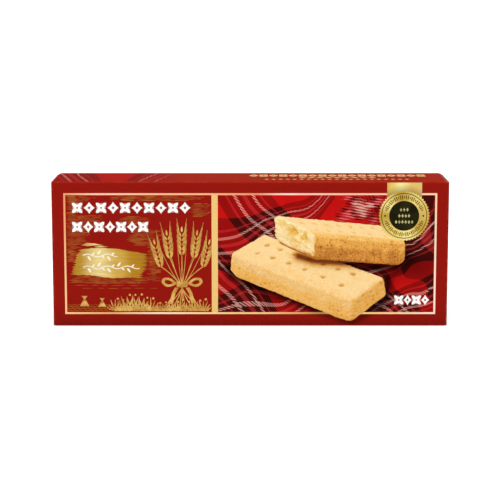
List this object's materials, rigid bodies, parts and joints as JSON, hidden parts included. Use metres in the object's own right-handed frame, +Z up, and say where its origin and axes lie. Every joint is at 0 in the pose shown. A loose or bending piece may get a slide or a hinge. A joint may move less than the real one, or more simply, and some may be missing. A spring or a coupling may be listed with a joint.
{
  "type": "shortbread finger carton",
  "caption": "Shut folding carton for shortbread fingers, standing on its long narrow side, with glued flaps closing both ends.",
  "frame": {"origin": "middle of the base that the carton stands on", "axes": "+X along the carton to the right as seen from the front, -Y out of the front panel, +Z up"},
  "size_m": [0.18, 0.034, 0.0665],
  "materials": {
    "printed_board": "satin varnish over red print"
  },
  "bodies": {
    "root": {"carton": "printed_board"}
  },
  "joints": []
}
